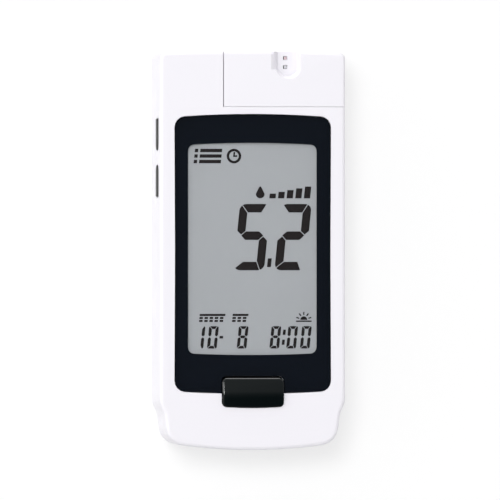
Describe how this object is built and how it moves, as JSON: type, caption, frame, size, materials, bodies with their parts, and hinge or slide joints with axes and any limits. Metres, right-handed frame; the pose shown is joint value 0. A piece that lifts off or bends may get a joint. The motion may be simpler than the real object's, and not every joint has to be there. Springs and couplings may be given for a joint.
{
  "type": "blood glucose meter",
  "caption": "Hand-held blood glucose meter with a large numeric display, a front button, side keys, a removable strip port cover and a sliding battery door.",
  "frame": {"origin": "middle of the back face that the meter rests on", "axes": "+Z out of the display, +Y towards the strip port end, +X to the right seen from the front"},
  "size_m": [0.0461, 0.098, 0.0214],
  "materials": {
    "case_white": "satin moulded ABS",
    "window": "polished acrylic with a black border",
    "display": "reflective grey display glass",
    "button_black": "satin moulded",
    "key_black": "fine grained",
    "adhesive_foam": "matt die-cut foam",
    "elastomer": "matt",
    "holder_grey": "moulded",
    "board_green": "solder mask",
    "chip_resin": "moulded resin",
    "component_black": "moulded",
    "plated_steel": "nickel plated",
    "port_window_red": "tinted clear",
    "port_window_violet": "tinted clear",
    "cell_can": "plain printed sleeve"
  },
  "bodies": {
    "case": {"front_housing": "case_white", "rear_housing": "case_white", "display_lens": "window", "lens_gasket": "adhesive_foam", "lcd_panel": "display", "elastomer_connector": "elastomer", "lcd_holder": "holder_grey", "main_board": "board_green", "processor_chip": "chip_resin", "memory_chip": "chip_resin", "quartz_crystal": "plated_steel", "buzzer": "component_black", "optical_sensor": "component_black", "main_switch": "component_black", "side_key_board": "board_green", "side_dome_upper": "plated_steel", "side_dome_lower": "plated_steel", "battery_cell_left": "cell_can", "battery_cell_right": "cell_can", "contact_plate_positive": "plated_steel", "contact_plate_negative": "plated_steel", "contact_plate_link": "plated_steel", "contact_spring_left": "plated_steel", "contact_spring_right": "plated_steel", "housing_screw_1": "plated_steel", "housing_screw_2": "plated_steel", "housing_screw_3": "plated_steel", "housing_screw_4": "plated_steel"},
    "button": {"main_button": "button_black"},
    "upper_key": {"side_key_upper": "key_black"},
    "lower_key": {"side_key_lower": "key_black"},
    "port_cover": {"strip_port_cover": "case_white", "port_window_upper": "port_window_red", "port_window_lower": "port_window_violet"},
    "door": {"battery_door": "case_white"}
  },
  "joints": [
    {"name": "main_button_press", "type": "slide", "parent": "case", "child": "button", "axis": [0, 0, -1], "range_m": [0, 0.0004], "stiffness_N_per_m": 2000, "springref_m": -0.0002},
    {"name": "upper_key_press", "type": "slide", "parent": "case", "child": "upper_key", "axis": [1, 0, 0], "range_m": [0, 0.0004], "stiffness_N_per_m": 1500, "springref_m": -0.0002},
    {"name": "lower_key_press", "type": "slide", "parent": "case", "child": "lower_key", "axis": [1, 0, 0], "range_m": [0, 0.0004], "stiffness_N_per_m": 1500, "springref_m": -0.0002},
    {"name": "port_cover_slide", "type": "slide", "parent": "case", "child": "port_cover", "axis": [0, 1, 0], "range_m": [0, 0.018]},
    {"name": "battery_door_slide", "type": "slide", "parent": "case", "child": "door", "axis": [0, -1, 0], "range_m": [0, 0.058]}
  ]
}
